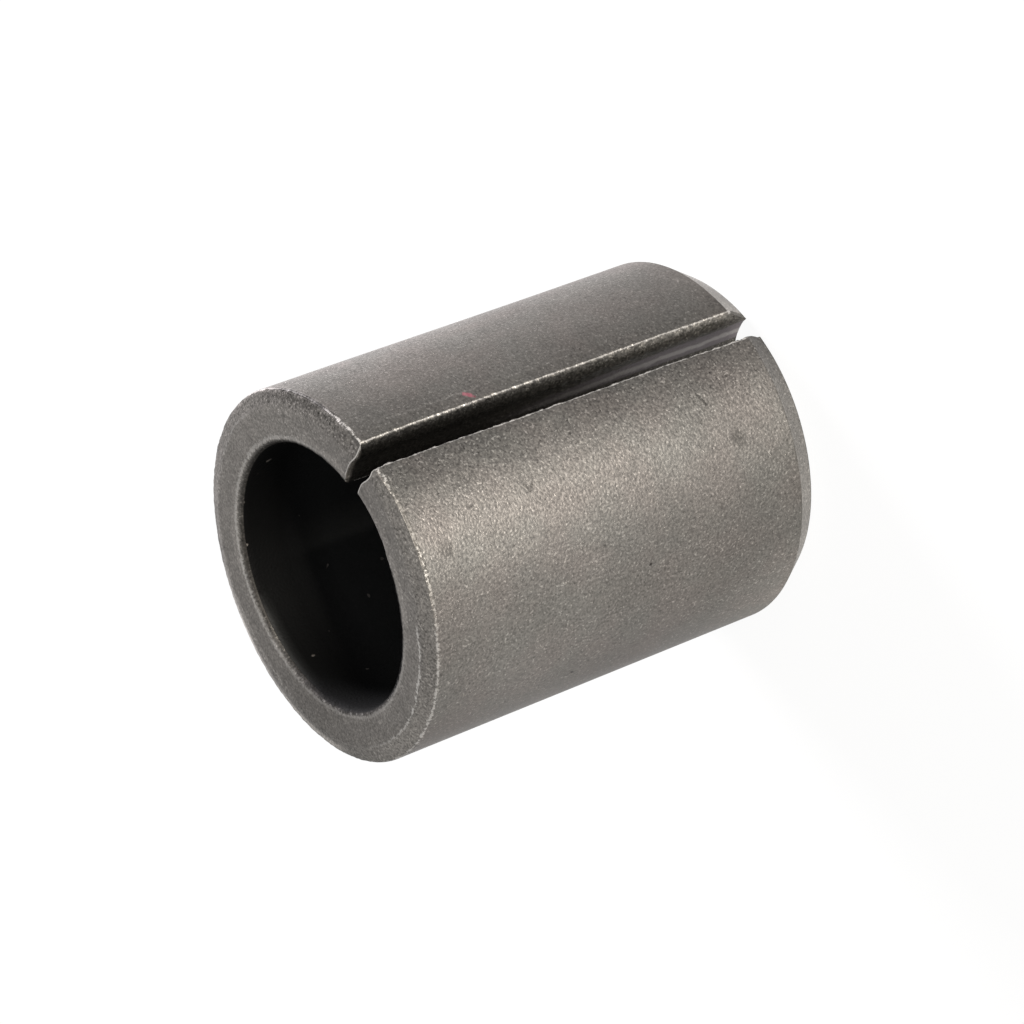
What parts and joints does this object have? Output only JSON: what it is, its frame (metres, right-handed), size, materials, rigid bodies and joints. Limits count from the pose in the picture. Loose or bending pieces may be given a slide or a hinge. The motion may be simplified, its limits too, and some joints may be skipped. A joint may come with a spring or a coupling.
{
  "type": "split sleeve bushing",
  "caption": "Split steel sleeve bushing: a rolled tube with an open lengthwise slit, a tapered lead-in below and a shallow bevel above.",
  "frame": {"origin": "centre of the bore at the lower end face, the end with the tapered lead-in", "axes": "+Z along the bore to the bevelled end, -Y out through the slit"},
  "size_m": [0.028, 0.0279, 0.035],
  "materials": {
    "dark_steel": "dark grey-brown blackened steel, matte and finely grained, worn bright along its edges"
  },
  "bodies": {
    "root": {"split_sleeve": "dark_steel"}
  },
  "joints": []
}
